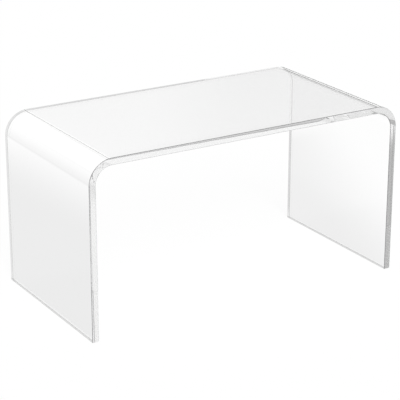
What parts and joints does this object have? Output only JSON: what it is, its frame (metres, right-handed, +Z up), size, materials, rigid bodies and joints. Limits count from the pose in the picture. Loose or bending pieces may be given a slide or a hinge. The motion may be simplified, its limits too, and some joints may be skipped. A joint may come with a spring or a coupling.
{
  "type": "waterfall coffee table",
  "caption": "Clear acrylic waterfall coffee table: one bent sheet forms the top and both legs, standing on clear bumper feet.",
  "frame": {"origin": "on the floor, under the middle of the table's footprint", "axes": "+X along the table from the left leg to the right leg, +Y from the front rim to the back rim, +Z up"},
  "size_m": [0.8, 0.406, 0.41],
  "materials": {
    "clear_acrylic": "clear cast acrylic, glossy faces, flame-polished edges, the arrises of both rims scraped to a 1.2 mm round and those of the leg ends broken by 0.3 mm",
    "clear_bumper": "clear moulded polyurethane, slightly frosted"
  },
  "bodies": {
    "root": {"bent_sheet": "clear_acrylic", "bumper_foot_front_left": "clear_bumper", "bumper_foot_front_right": "clear_bumper", "bumper_foot_back_left": "clear_bumper", "bumper_foot_back_right": "clear_bumper"}
  },
  "joints": []
}
